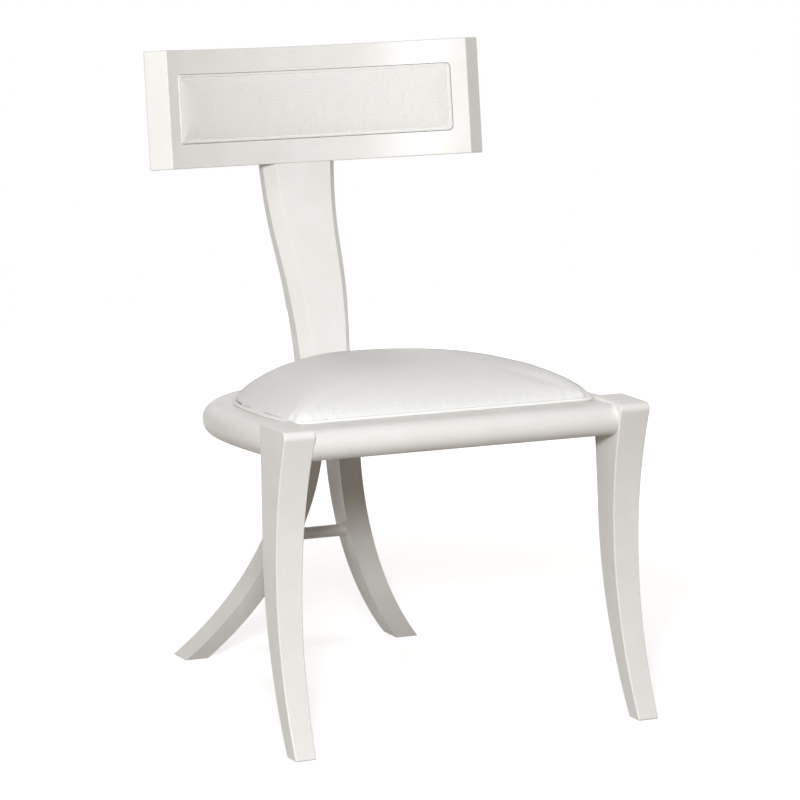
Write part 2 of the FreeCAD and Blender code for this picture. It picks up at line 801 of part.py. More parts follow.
def cushion_dome(shrink, bottom):
    """The crowned seat: outlines drawn in and raised, steep at the edge and flat on top."""
    crown = mm("cushion_crown") - shrink
    wires = [seat_wire(mm("cushion_offset") + shrink, cushion_front + shrink,
                       mm("cushion_corner") - shrink, bottom)]
    for step in range(1, 13):
        share = 0.68 * (step / 12) ** 2
        inset = shrink + share * (cushion_middle - shrink)
        rise = crown * (1 - (1 - share) ** 3) ** 0.6
        wires.append(seat_wire(mm("cushion_offset") + inset, cushion_front + inset,
                               mm("cushion_corner") + 0.05 * inset, rise))
    return Part.makeLoft(wires, True, True)


soft_gap = mm("soft_gap")
cover_outer = cushion_dome(0, soft_gap)
cover_inner = cushion_dome(mm("cloth"), soft_gap - 2)
seat_cover_shape = cover_outer.cut(cover_inner)
seat_foam_shape = cushion_dome(mm("cloth") + soft_gap, soft_gap)

welt_radius = mm("welt_radius")
welt_inset = welt_radius + 0.4
welt_corner = mm("cushion_corner") + welt_inset
welt_path = seat_wire(mm("cushion_offset") - welt_inset, cushion_front - welt_inset,
                      welt_corner, welt_radius + 0.1)
front_line = welt_path.Edges[-1]
cord = Part.makeCircle(welt_radius, front_line.valueAt(front_line.FirstParameter),
                       front_line.tangentAt(front_line.FirstParameter))
seat_welt_shape = welt_path.makePipeShell([Part.Wire(cord)], True, False, 2)
dust_cover_shape = seat_slab(mm("rail_inner_offset") - 9, front_rail_back() - 9, 8,
                             -mm("rail_height") - 0.9, -mm("rail_height") - 0.1)


# Corner blocks behind the front rail

def corner_block(side):
    leg = mm("block_leg")
    reach = side_arc_centre()[0] + math.sqrt(
        (mm("horseshoe_side_radius") - mm("rail_inner_offset")) ** 2
        - (front_rail_back() - side_arc_centre()[1]) ** 2)
    top = -mm("ledge_depth")
    points = [Vector(side * (reach + 8), front_rail_back(), top),
              Vector(side * (reach - leg), front_rail_back(), top),
              Vector(side * reach, front_rail_back() + leg, top),
              Vector(side * (reach + 8), front_rail_back() + leg, top)]
    prism = Part.Face(Part.makePolygon(points + points[:1])).extrude(
        Vector(0, 0, -mm("block_height")))
    return on_seat(prism).cut(right_rail_solid if side > 0 else left_rail_solid), reach


block_solids = [corner_block(side)[0] for side in (-1, 1)]
block_reach = corner_block(1)[1]
block_middle = -mm("ledge_depth") - mm("block_height") / 2
blocks_blank = feature_of("corner_blocks_blank", Part.makeCompound(block_solids))


# Back panel: bent board, foam, cover and welt

board_shape = panel_solid(board_front, recess_back, mm("fitting_gap"),
                          mm("panel_corner") - mm("fitting_gap"))
cover_inset = 2 * welt_radius + 0.6
pad_front = crest_radius - mm("pad_crown")
pad_corner = 3.0
back_cover_outer = panel_solid(pad_front, board_front - 0.3, cover_inset, pad_corner, 4.0)
back_cover_inner = panel_solid(pad_front + mm("cloth"), board_front + 2, cover_inset + mm("cloth"),
                               pad_corner - 1, 3.0)
back_cover_shape = back_cover_outer.cut(back_cover_inner)
back_foam_shape = panel_solid(pad_front + mm("cloth") + soft_gap, board_front - soft_gap,
                              cover_inset + mm("cloth") + soft_gap, pad_corner - 1.2, 2.8)


def panel_welt():
    """A round cord laid just inside the recess, its corners bent to suit the recess's own."""
    inset = soft_gap + welt_radius
    radius = board_front - 0.2 - welt_radius
    half = panel_half_angle - inset / crest_radius
    low = mm("panel_border") + inset
    high = mm("crest_height") - mm("panel_border") - inset
    bend = mm("panel_corner") - inset
    step = bend / radius
    middle = 1 - math.cos(math.pi / 4)

    def at(turn, height):
        return Vector(radius * math.sin(turn), radius * math.cos(turn) - crest_radius, height)

    def corner(side, height, way):
        return (at(side * (half - step), height),
                at(side * (half - middle * step), height + way * middle * bend),
                at(side * half, height + way * bend))

    low_left = corner(-1, low, 1)
    low_right = corner(1, low, 1)
    high_left = corner(-1, high, -1)
    high_right = corner(1, high, -1)
    path = Part.Wire([
        Part.Arc(low_left[0], at(0, low), low_right[0]).toShape(),
        Part.Arc(*low_right).toShape(),
        Part.makeLine(low_right[2], high_right[2]),
        Part.Arc(*reversed(high_right)).toShape(),
        Part.Arc(high_right[0], at(0, high), high_left[0]).toShape(),
        Part.Arc(*high_left).toShape(),
        Part.makeLine(high_left[2], low_left[2]),
        Part.Arc(*reversed(low_left)).toShape(),
    ])
    run = path.Edges[0]
    cord = Part.makeCircle(welt_radius, run.valueAt(run.FirstParameter),
                           run.tangentAt(run.FirstParameter))
    return path.makePipeShell([Part.Wire(cord)], True, False, 2)


back_welt_shape = panel_welt()


# Screws and the plugs that hide them

def counterbore(point, direction, length):
    hole = Part.makeCylinder(mm("screw_head") / 2, length)
    hole.Placement = Placement(point, along(-direction))
    return hole


def block_screw_places():
    places = []
    for side in (-1, 1):
        places.append((seat_point(side * (block_reach - 34), front_rail_back() + 22, block_middle),
                       seat_way(0, -1, 0), 40.0))
        places.append((seat_point(side * (block_reach - 24), front_rail_back() + 36, block_middle),
                       seat_way(side, 0, 0), 40.0))
    return places


def seat_screw_places():
    up = seat_way(0, 0, 1)
    low = -mm("ledge_depth") - mm("block_height")
    places = [(seat_point(side * (block_reach - 16), front_rail_back() + 14, low), up,
               mm("block_height") + mm("screw_bite")) for side in (-1, 1)]
    radius = REAR_RADIUS - (mm("ledge_offset") + mm("rail_inner_offset")) / 2
    for angle in (25, 70, 110, 155):
        turn = math.radians(angle)
        places.append((seat_point(radius * math.cos(turn), horseshoe_back() + radius * math.sin(turn),
                                  -mm("rail_height")), up,
                       mm("rail_height") - mm("ledge_depth") + mm("screw_bite")))
    return places


def panel_screw_places():
    places = []
    radius = crest_radius + mm("crest_thickness") - mm("plug_length")
    for degrees in (-24, 0, 24):
        turn = math.radians(degrees)
        for height in (62, 104):
            point = Vector(radius * math.sin(turn), radius * math.cos(turn) - crest_radius, height)
            inward = Vector(-math.sin(turn), -math.cos(turn), 0)
            places.append((CREST.multVec(point), CREST.Rotation.multVec(inward),
                           radius - board_front - 1))
    return places


block_screws = screws("corner_block_screws", block_screw_places())
seat_screws = screws("seat_board_screws", seat_screw_places())
panel_screws = screws("back_panel_screws", panel_screw_places())
block_bores = feature_of("block_screw_bores", Part.makeCompound([
    counterbore(point, way, 40) for point, way, length in block_screw_places()]))
plug_solids = [counterbore(point, way, mm("plug_length")) for point, way, length in panel_screw_places()]
plugs = node(feature_of("crest_screw_plugs", Part.makeCompound(plug_solids)), "crest_screw_plugs")


# The finished pieces, each less what enters it

cut("front_left_leg", front_leg_blanks[-1], [front_rail_pegs, side_rail_pegs])
cut("front_right_leg", front_leg_blanks[1], [front_rail_pegs, side_rail_pegs])
cut("seat_front_rail", front_rail_blank, [front_rail_pegs, block_screws])
cut("seat_left_rail", left_rail_blank, [side_rail_pegs, rear_rail_pegs, block_screws, seat_screws])
cut("seat_right_rail", right_rail_blank, [side_rail_pegs, rear_rail_pegs, block_screws, seat_screws])
cut("seat_rear_rail", rear_rail_blank, [rear_rail_pegs, rear_leg_pegs, tenon_tool, seat_screws])
cut("corner_blocks", blocks_blank, [block_screws, block_bores, seat_screws])
cut("rear_left_leg", rear_leg_blanks[-1], [rear_rail_blank, rear_leg_pegs, stretcher])
cut("rear_right_leg", rear_leg_blanks[1], [rear_rail_blank, rear_leg_pegs, stretcher])
cut("splat", splat_blank, [crest_pegs])
cut("crest_rail", crest_body, [recess_tool, crest_pegs, panel_screws, plugs])
board_blank = feature_of("seat_board_blank", on_seat(seat_board_shape))
cut("seat_board", board_blank, [seat_screws])
back_board_blank = feature_of("back_panel_board_blank", on_crest(board_shape))
cut("back_panel_board", back_board_blank, [panel_screws])

for label, shape in (("seat_foam", seat_foam_shape), ("seat_cover", seat_cover_shape),
                     ("seat_welt", seat_welt_shape), ("seat_dust_cover", dust_cover_shape)):
    node(feature_of(label, on_seat(shape)), label)
for label, shape in (("back_foam", back_foam_shape), ("back_cover", back_cover_shape),
                     ("back_welt", back_welt_shape)):
    node(feature_of(label, on_crest(shape)), label)


# Checks, then one file for each piece

doc.recompute()
for item in doc.Objects:
    if "Invalid" in item.State or "Error" in item.State:
        raise RuntimeError("%s did not build: %s" % (item.Label, item.State))
for item in NODES:
    if item.Shape.isNull() or not item.Shape.isValid() or not item.Shape.Solids:
        raise RuntimeError("%s has no sound solid" % item.Label)

os.makedirs("parts", exist_ok=True)
for item in NODES:
    item.Shape.exportStep(os.path.join("parts", item.Label + ".step"))
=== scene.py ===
import math

import bmesh
import bpy
import numpy as np
from mathutils import Euler, Matrix, Vector


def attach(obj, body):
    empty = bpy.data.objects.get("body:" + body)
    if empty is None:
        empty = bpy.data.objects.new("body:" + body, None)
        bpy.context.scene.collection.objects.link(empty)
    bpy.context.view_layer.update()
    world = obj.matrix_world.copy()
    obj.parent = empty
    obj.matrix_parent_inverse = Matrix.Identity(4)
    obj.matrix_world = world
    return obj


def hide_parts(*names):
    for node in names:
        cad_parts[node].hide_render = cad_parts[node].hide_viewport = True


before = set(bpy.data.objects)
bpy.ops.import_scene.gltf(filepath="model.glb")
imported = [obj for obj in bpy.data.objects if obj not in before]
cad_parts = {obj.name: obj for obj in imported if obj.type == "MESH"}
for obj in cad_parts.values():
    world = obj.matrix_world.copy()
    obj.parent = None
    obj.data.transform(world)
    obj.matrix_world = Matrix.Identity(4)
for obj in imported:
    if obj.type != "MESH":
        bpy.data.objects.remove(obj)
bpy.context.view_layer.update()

# A klismos chair: painted sabre legs, horseshoe seat frame, ogee splat, bent crest rail, and
# white woven upholstery on the seat and in the crest. Metres, in the same frame as the solids.

# the solids' own sizes; each line is measured back from the front of the front legs, and the
# origin is HALF_DEPTH behind it
CHAIR_DEPTH = 0.6334
HALF_DEPTH = 0.31723
FRONT_RAIL_LINE = 0.063
SEAT_TOP = 0.431
SEAT_PITCH = math.radians(2.5)
SEAT_BACK_SET_IN = 0.1199

# the horseshoe: a rear arc and two flatter side arcs, tangent to each other at SIDE_TURN
REAR_RADIUS = 0.246
REAR_CENTRE = CHAIR_DEPTH - SEAT_BACK_SET_IN - REAR_RADIUS - FRONT_RAIL_LINE
SIDE_RADIUS = 0.890
SIDE_TURN = math.radians(7)

CUSHION_OFFSET = 0.026
CUSHION_FRONT = 0.104 - FRONT_RAIL_LINE
CUSHION_CORNER = 0.021
WELT_RADIUS = 0.0025
SOFT_GAP = 0.0004

CREST_LINE = CHAIR_DEPTH - 0.0534
CREST_BASE = 0.7145
CREST_RECLINE = math.radians(7.5)
CREST_RADIUS = 0.389
CREST_HEIGHT = 0.166
CREST_HALF_CHORD = 0.231

PANEL_BORDER = 0.0342
PANEL_END_BORDER = 0.024
PANEL_RECESS = 0.007
PANEL_CORNER = 0.007
PAD_BOARD = 0.0035
PAD_CROWN = 0.006
BOARD_FRONT = CREST_RADIUS + PANEL_RECESS - PAD_BOARD
PAD_FRONT = CREST_RADIUS - PAD_CROWN

SEAT = Matrix.Translation((0, FRONT_RAIL_LINE - HALF_DEPTH, SEAT_TOP)) @ Euler(
    (-SEAT_PITCH, 0, 0)).to_matrix().to_4x4()
CREST = Matrix.Translation((0, CREST_LINE - HALF_DEPTH, CREST_BASE)) @ Euler(
    (-CREST_RECLINE, 0, 0)).to_matrix().to_4x4()


# The photograph's camera, solved from the feet, the leg edges and the crest rail's corners

def set_camera():
    data = bpy.data.cameras.new("photo_camera")
    camera = bpy.data.objects.new("photo_camera", data)
    bpy.context.collection.objects.link(camera)
    data.sensor_width = 36
    data.lens = 191.517
    camera.location = (-2.45188, -5.27188, 1.45168)
    camera.rotation_euler = (math.radians(90 - 10.1418), 0, math.radians(-25.2037))
    bpy.context.scene.camera = camera


set_camera()


# Materials

def colour(code):
    """A linear colour from an sRGB hex value."""
    channels = [int(code[i:i + 2], 16) / 255 for i in (1, 3, 5)]
    linear = [c / 12.92 if c <= 0.04045 else ((c + 0.055) / 1.055) ** 2.4 for c in channels]
    return (*linear, 1)


def add(tree, kind, settings=None, inputs=None):
    """Adds a node. An input is a plain value, the socket that feeds it, or a node whose first
    socket does."""
    made = tree.nodes.new(kind)
    for name, value in (settings or {}).items():
        setattr(made, name, value)
    for name, value in (inputs or {}).items():
        if isinstance(value, bpy.types.Node):
            value = value.outputs[0]
        if isinstance(value, bpy.types.NodeSocket):
            tree.links.new(value, made.inputs[name])
        else:
            made.inputs[name].default_value = value
    return made


def new_material(name):
    material = bpy.data.materials.new(name)
    material.use_nodes = True
    tree = material.node_tree
    tree.nodes.clear()
    return material, tree


# Satin paint over close-grained hardwood: sprayed, then rubbed along the grain, so it is
# smooth and softly bright, with faint streaks along each piece and a faint warm mottle where
# the coats differ in thickness.

def satin_paint(name, grain):
    material, tree = new_material(name)
    place = add(tree, "ShaderNodeTexCoord").outputs["Object"]
    # pores and rubbing marks are 0.3 mm across; these are 1 mm by 25 mm, to show in the render
    scale = [40 if axis == grain else 1000 for axis in "xyz"]
    stretched = add(tree, "ShaderNodeMapping", inputs={"Vector": place, "Scale": scale})
    streaks = add(tree, "ShaderNodeTexNoise", inputs={
        "Vector": stretched, "Scale": 1.0, "Detail": 4.0, "Roughness": 0.6})
    # spray texture about 2.5 mm across
    spray = add(tree, "ShaderNodeTexNoise", inputs={
        "Vector": place, "Scale": 400.0, "Detail": 2.0, "Roughness": 0.5})
    # coats that vary over about 60 mm
    cloud = add(tree, "ShaderNodeTexNoise", inputs={
        "Vector": place, "Scale": 16.0, "Detail": 3.0, "Roughness": 0.55})
    thin = add(tree, "ShaderNodeMapRange", inputs={
        "Value": cloud, "From Min": 0.35, "From Max": 0.68, "To Min": 0.0, "To Max": 1.0})
    coat = add(tree, "ShaderNodeMix", {"data_type": "RGBA"}, {
        0: thin, 6: colour("#F2F1EE"), 7: colour("#EEECE8")}).outputs[2]
    streak_share = add(tree, "ShaderNodeMapRange", inputs={
        "Value": streaks, "From Min": 0.28, "From Max": 0.56, "To Min": 0.24, "To Max": 0.0})
    skin = add(tree, "ShaderNodeMix", {"data_type": "RGBA"}, {
        0: streak_share, 6: coat, 7: colour("#D8D3CA")}).outputs[2]
    roughness = add(tree, "ShaderNodeMapRange", inputs={
        "Value": cloud, "From Min": 0.3, "From Max": 0.7, "To Min": 0.32, "To Max": 0.40})
    relief = add(tree, "ShaderNodeMath", {"operation": "MULTIPLY_ADD"}, {
        0: streaks, 1: 1.2, 2: spray})
    # edges eased by about a millimetre with paper
    eased = add(tree, "ShaderNodeBevel", {"samples": 4}, {"Radius": 0.0013})
    bump = add(tree, "ShaderNodeBump", inputs={
        "Height": relief, "Strength": 0.14, "Distance": 0.0004, "Normal": eased})
    shader = add(tree, "ShaderNodeBsdfPrincipled", inputs={
        "Base Color": skin, "Roughness": roughness, "IOR": 1.48, "Normal": bump})
    add(tree, "ShaderNodeOutputMaterial", inputs={"Surface": shader})
    return material


# Bare beech of dowels and corner blocks: pinkish tan with short dark flecks.

def bare_beech():
    material, tree = new_material("bare_beech")
    place = add(tree, "ShaderNodeTexCoord").outputs["Object"]
    # flecks 4 mm long and 0.7 mm wide
    stretched = add(tree, "ShaderNodeMapping", inputs={
        "Vector": place, "Scale": (260, 1500, 1500)})
    flecks = add(tree, "ShaderNodeTexNoise", inputs={
        "Vector": stretched, "Scale": 1.0, "Detail": 3.0})
    # growth rings 3.5 mm apart
    rings = add(tree, "ShaderNodeTexWave", {"bands_direction": "Y"}, {
        "Vector": place, "Scale": 90.0, "Distortion": 4.0, "Detail": 2.0}).outputs["Fac"]
    plain = add(tree, "ShaderNodeMix", {"data_type": "RGBA"}, {
        0: rings, 6: colour("#D8B68A"), 7: colour("#C9A274")}).outputs[2]
    fleck_share = add(tree, "ShaderNodeMapRange", inputs={
        "Value": flecks, "From Min": 0.28, "From Max": 0.4, "To Min": 0.7, "To Max": 0.0})
    skin = add(tree, "ShaderNodeMix", {"data_type": "RGBA"}, {
        0: fleck_share, 6: plain, 7: colour("#8E6844")}).outputs[2]
    bump = add(tree, "ShaderNodeBump", inputs={
        "Height": flecks, "Strength": 0.2, "Distance": 0.0003})
    shader = add(tree, "ShaderNodeBsdfPrincipled", inputs={
        "Base Color": skin, "Roughness": 0.6, "Normal": bump})
    add(tree, "ShaderNodeOutputMaterial", inputs={"Surface": shader})
    return material


# Birch plywood: pale rotary-cut face with broad soft figure.

def birch_plywood():
    material, tree = new_material("birch_plywood")
    place = add(tree, "ShaderNodeTexCoord").outputs["Object"]
    # figure 80 mm long and 11 mm wide
    stretched = add(tree, "ShaderNodeMapping", inputs={"Vector": place, "Scale": (12, 90, 90)})
    figure = add(tree, "ShaderNodeTexNoise", inputs={
        "Vector": stretched, "Scale": 1.0, "Detail": 6.0, "Distortion": 0.8})
    share = add(tree, "ShaderNodeMapRange", inputs={
        "Value": figure, "From Min": 0.3, "From Max": 0.7, "To Min": 0.0, "To Max": 1.0})
    skin = add(tree, "ShaderNodeMix", {"data_type": "RGBA"}, {
        0: share, 6: colour("#E3CBA2"), 7: colour("#CDAE7E")}).outputs[2]
    bump = add(tree, "ShaderNodeBump", inputs={
        "Height": figure, "Strength": 0.15, "Distance": 0.0003})
    shader = add(tree, "ShaderNodeBsdfPrincipled", inputs={
        "Base Color": skin, "Roughness": 0.62, "Normal": bump})
    add(tree, "ShaderNodeOutputMaterial", inputs={"Surface": shader})
    return material


# Upholstery cloth: white linen and cotton in a plain weave. Its threads are thick and thin, so it
# looks pebbled, and it has no gloss. Its second colour is painted shade, laid into the low places
# between and along the threads.

def woven_cloth(name, light, gap):
    material, tree = new_material(name)
    place = add(tree, "ShaderNodeUVMap", {"uv_map": "weave"})
    # real threads are 0.6 mm apart; these are 1.9 mm apart, to show in the render
    spacing = 0.0019
    bands = math.pi / (10 * spacing)
    warp = add(tree, "ShaderNodeTexWave", {"bands_direction": "X"}, {
        "Vector": place, "Scale": bands, "Distortion": 2.8, "Detail": 2.0,
        "Detail Scale": 1.6}).outputs["Fac"]
    weft = add(tree, "ShaderNodeTexWave", {"bands_direction": "Y"}, {
        "Vector": place, "Scale": bands, "Distortion": 2.8, "Detail": 2.0,
        "Detail Scale": 1.6}).outputs["Fac"]
    over = add(tree, "ShaderNodeTexChecker", inputs={
        "Vector": place, "Scale": 1 / spacing}).outputs["Fac"]
    threads = add(tree, "ShaderNodeMix", inputs={0: over, 2: warp, 3: weft})
    # slubs: thick stretches of thread some 4 mm long and 2 mm wide, both ways
    slubs = []
    for scale in ((240, 500, 1), (500, 240, 1)):
        stretched = add(tree, "ShaderNodeMapping", inputs={"Vector": place, "Scale": scale})
        slubs.append(add(tree, "ShaderNodeTexNoise", {"noise_dimensions": "2D"}, {
            "Vector": stretched, "Scale": 1.0, "Detail": 3.0}))
    thick = add(tree, "ShaderNodeMath", {"operation": "MAXIMUM"}, {0: slubs[0], 1: slubs[1]})
    relief = add(tree, "ShaderNodeMath", {"operation": "MULTIPLY_ADD"}, {
        0: thick, 1: 1.6, 2: threads})
    # where the weave is low, between threads and along their thin stretches, it is painted darker
    # as shade
    thread_gap_shade = add(tree, "ShaderNodeMapRange", inputs={
        "Value": relief, "From Min": 0.65, "From Max": 1.55, "To Min": 0.75, "To Max": 0.0})
    skin = add(tree, "ShaderNodeMix", {"data_type": "RGBA"}, {
        0: thread_gap_shade, 6: colour(light), 7: colour(gap)}).outputs[2]
    bump = add(tree, "ShaderNodeBump", inputs={
        "Height": relief, "Strength": 0.5, "Distance": 0.0006})
    shader = add(tree, "ShaderNodeBsdfPrincipled", inputs={
        "Base Color": skin, "Roughness": 0.9, "Specular IOR Level": 0.25,
        "Sheen Weight": 0.15, "Sheen Roughness": 0.5, "Normal": bump})
    add(tree, "ShaderNodeOutputMaterial", inputs={"Surface": shader})
    return material


# Welt: the same cloth cut on the bias and sewn round a cord, so its threads cross aslant. The gaps
# between its threads are painted darker, as shade.

def bias_cut_welt_cloth():
    material, tree = new_material("bias_cut_welt_cloth")
    place = add(tree, "ShaderNodeTexCoord").outputs["Object"]
    # threads 1.2 mm apart, met at half a right angle
    slants = []
    for turn in (45, -45):
        turned = add(tree, "ShaderNodeMapping", inputs={
            "Vector": place, "Rotation": (0, math.radians(turn), math.radians(turn))})
        slants.append(add(tree, "ShaderNodeTexWave", {"bands_direction": "X"}, {
            "Vector": turned, "Scale": 265.0, "Distortion": 0.6, "Detail": 1.0}).outputs["Fac"])
    threads = add(tree, "ShaderNodeMath", {"operation": "MAXIMUM"}, {0: slants[0], 1: slants[1]})
    # the low places between the slanting threads are painted darker, as shade
    thread_gap_shade = add(tree, "ShaderNodeMapRange", inputs={
        "Value": threads, "From Min": 0.2, "From Max": 0.9, "To Min": 0.6, "To Max": 0.0})
    skin = add(tree, "ShaderNodeMix", {"data_type": "RGBA"}, {
        0: thread_gap_shade, 6: colour("#F8F8F5"), 7: colour("#E2E2DC")}).outputs[2]
    bump = add(tree, "ShaderNodeBump", inputs={
        "Height": threads, "Strength": 0.3, "Distance": 0.0004})
    shader = add(tree, "ShaderNodeBsdfPrincipled", inputs={
        "Base Color": skin, "Roughness": 0.9, "Specular IOR Level": 0.25,
        "Sheen Weight": 0.15, "Sheen Roughness": 0.5, "Normal": bump})
    add(tree, "ShaderNodeOutputMaterial", inputs={"Surface": shader})
    return material


# Spun-bonded black cambric under the seat: matte, with a fine pattern of bonded points.

def black_cambric():
    material, tree = new_material("black_cambric")
    place = add(tree, "ShaderNodeTexCoord").outputs["Object"]
    # bonded points 1.4 mm apart
    points = add(tree, "ShaderNodeTexVoronoi", inputs={
        "Vector": place, "Scale": 700.0, "Randomness": 0.15})
    fibres = add(tree, "ShaderNodeTexNoise", inputs={
        "Vector": place, "Scale": 900.0, "Detail": 4.0})
    skin = add(tree, "ShaderNodeMix", {"data_type": "RGBA"}, {
        0: fibres, 6: colour("#161617"), 7: colour("#2B2B2D")}).outputs[2]
    relief = add(tree, "ShaderNodeMath", {"operation": "MULTIPLY_ADD"}, {
        0: points, 1: 2.8, 2: fibres})
    bump = add(tree, "ShaderNodeBump", inputs={
        "Height": relief, "Strength": 0.4, "Distance": 0.0003})
    shader = add(tree, "ShaderNodeBsdfPrincipled", inputs={
        "Base Color": skin, "Roughness": 0.92, "Normal": bump})
    add(tree, "ShaderNodeOutputMaterial", inputs={"Surface": shader})
    return material


# Zinc-plated steel of screws and staples: cool grey, a little clouded.

def zinc_plated_steel():
    material, tree = new_material("zinc_plated_steel")
    place = add(tree, "ShaderNodeTexCoord").outputs["Object"]
    # crystals of the plating cloud it over 1.7 mm
    cloud = add(tree, "ShaderNodeTexNoise", inputs={"Vector": place, "Scale": 600.0, "Detail": 3.0})
    skin = add(tree, "ShaderNodeMix", {"data_type": "RGBA"}, {
        0: cloud, 6: colour("#B4B8BC"), 7: colour("#CDD0D2")}).outputs[2]
    roughness = add(tree, "ShaderNodeMapRange", inputs={
        "Value": cloud, "From Min": 0.3, "From Max": 0.7, "To Min": 0.28, "To Max": 0.45})
    shader = add(tree, "ShaderNodeBsdfPrincipled", inputs={
        "Base Color": skin, "Metallic": 1.0, "Roughness": roughness})
    add(tree, "ShaderNodeOutputMaterial", inputs={"Surface": shader})
    return material


paint_upright = satin_paint("satin_paint_upright_grain", "z")
paint_across = satin_paint("satin_paint_cross_grain", "x")
paint_deep = satin_paint("satin_paint_side_grain", "y")
beech = bare_beech()
plywood = birch_plywood()
# each cloth's second colour is painted shade for the low places in its weave
seat_cloth = woven_cloth("white_linen_seat_cloth", "#FCFCFA", "#E1E0DA")
back_cloth = woven_cloth("white_linen_back_cloth", "#FCFCF9", "#E1E0D9")
welt_cloth = bias_cut_welt_cloth()
cambric = black_cambric()
zinc = zinc_plated_steel()

FINISHES = {
    "front_left_leg": paint_upright, "front_right_leg": paint_upright,
    "rear_left_leg": paint_upright, "rear_right_leg": paint_upright,
    "splat": paint_upright, "rear_stretcher": paint_across, "crest_rail": paint_across,
    "crest_screw_plugs": paint_across, "seat_front_rail": paint_across,
    "seat_rear_rail": paint_across, "seat_left_rail": paint_deep, "seat_right_rail": paint_deep,
    "seat_board": plywood, "back_panel_board": plywood, "corner_blocks": beech,
    "front_rail_dowels": beech, "side_rail_dowels": beech, "rear_rail_dowels": beech,
    "rear_leg_dowels": beech, "crest_dowels": beech, "corner_block_screws": zinc,
    "seat_board_screws": zinc, "back_panel_screws": zinc, "seat_dust_cover": cambric,
}

for name, material in FINISHES.items():
    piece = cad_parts[name]
    for slot in piece.material_slots:
        slot.material = material


# Shapes shared by the soft pieces

def seat_outline(offset, front, corner, spacing):
    """Points round the horseshoe drawn in by offset, on the seat's plane. They start at the
    front line's right end."""
    centre = Vector(((REAR_RADIUS - SIDE_RADIUS) * math.cos(SIDE_TURN),
                     REAR_CENTRE + (REAR_RADIUS - SIDE_RADIUS) * math.sin(SIDE_TURN)))
    side = SIDE_RADIUS - offset
    rear = REAR_RADIUS - offset
    corner_y = front + corner
    corner_x = centre.x + math.sqrt((side - corner) ** 2 - (corner_y - centre.y) ** 2)
    away = math.atan2(corner_y - centre.y, corner_x - centre.x)
    arcs = [((corner_x, corner_y), corner, -math.pi / 2, away),
            (tuple(centre), side, away, SIDE_TURN),
            ((0, REAR_CENTRE), rear, SIDE_TURN, math.pi / 2)]
    right = []
    for (x, y), radius, start, end in arcs:
        steps = max(2, round(abs(end - start) * radius / spacing))
        for step in range(steps):
            turn = start + (end - start) * step / steps
            right.append((x + radius * math.cos(turn), y + radius * math.sin(turn)))
    left = [(-x, y) for x, y in reversed(right)]
    straight = max(2, round(2 * corner_x / spacing))
    across = [(-corner_x + 2 * corner_x * step / straight, front) for step in range(1, straight)]
    return right + [(0, REAR_CENTRE + rear)] + left + across


def crest_point(radius, turn, height):
    """A place on a cylinder bent like the crest rail."""
    return CREST @ Vector((radius * math.sin(turn), radius * math.cos(turn) - CREST_RADIUS, height))


def panel_outline(inset, radius, corner, spacing):
    """Points round the crest's recess, drawn in by inset, on a cylinder of that radius."""
    half = math.asin(CREST_HALF_CHORD / CREST_RADIUS) - (PANEL_END_BORDER + inset) / CREST_RADIUS
    wide = half * radius
    low = PANEL_BORDER + inset
    high = CREST_HEIGHT - PANEL_BORDER - inset
    flat = []
    corners = [(wide - corner, low + corner, -90), (wide - corner, high - corner, 0),
               (-wide + corner, high - corner, 90), (-wide + corner, low + corner, 180)]
    corner_steps = 6
    for (x, z, start), (next_x, next_z, _) in zip(corners, corners[1:] + corners[:1]):
        for step in range(corner_steps + 1):
            turn = math.radians(start + 90 * step / corner_steps)
            flat.append(Vector((x + corner * math.cos(turn), z + corner * math.sin(turn))))
        turn = math.radians(start + 90)
        end = Vector((next_x + corner * math.cos(turn), next_z + corner * math.sin(turn)))
        begin = flat[-1]
        steps = max(2, round((end - begin).length / spacing))
        flat.extend(begin.lerp(end, step / steps) for step in range(1, steps))
    return [crest_point(radius, point.x / radius, point.y) for point in flat]


def link_mesh(name, mesh):
    made = bpy.data.objects.new(name, mesh)
    bpy.context.collection.objects.link(made)
    return made


def settled(source):
    """A plain mesh from an object with its modifiers applied."""
    bpy.context.view_layer.update()
    graph = bpy.context.evaluated_depsgraph_get()
    return bpy.data.meshes.new_from_object(source.evaluated_get(graph), depsgraph=graph)


def coordinates(mesh):
    points = np.empty(len(mesh.vertices) * 3)
    mesh.vertices.foreach_get("co", points)
    return points.reshape(-1, 3)


def move_points(mesh, points):
    mesh.vertices.foreach_set("co", points.reshape(-1))
    mesh.update()


def with_modifier(name, mesh, kind, settings):
    """The mesh after one modifier."""
    holder = link_mesh(name, mesh)
    modifier = holder.modifiers.new(kind.lower(), kind)
    for key, value in settings.items():
        setattr(modifier, key, value)
    made = settled(holder)
    bpy.data.objects.remove(holder)
    return made


def inflated(name, mesh, held, pressure, most):
    """Cloth blown up a little from inside and held still where held is true. No point moves
    further than most."""
    before = coordinates(mesh)
    holder = link_mesh(name, mesh)
    group = holder.vertex_groups.new(name="held")
    group.add([int(i) for i in np.nonzero(held)[0]], 1.0, "REPLACE")
    cloth = holder.modifiers.new("cloth", "CLOTH")
    cloth.settings.quality = 5
    cloth.settings.mass = 0.3
    cloth.settings.tension_stiffness = 15
    cloth.settings.compression_stiffness = 15
    cloth.settings.shear_stiffness = 5
    cloth.settings.bending_stiffness = 0.5
    cloth.settings.use_pressure = True
    cloth.settings.uniform_pressure_force = pressure
    cloth.settings.vertex_group_mass = "held"
    cloth.settings.effector_weights.gravity = 0
    cloth.collision_settings.use_collision = False
    cloth.collision_settings.use_self_collision = False
    last = 20
    cloth.point_cache.frame_start = 1
    cloth.point_cache.frame_end = last
    for number in range(1, last + 1):
        bpy.context.scene.frame_set(number)
    after_mesh = settled(holder)
    bpy.context.scene.frame_set(1)
    bpy.data.objects.remove(holder)
    moved = coordinates(after_mesh) - before
    reach = np.linalg.norm(moved, axis=1, keepdims=True)
    scale = np.minimum(1, most / np.maximum(reach, 1e-9))
    move_points(after_mesh, before + moved * scale)
    return after_mesh


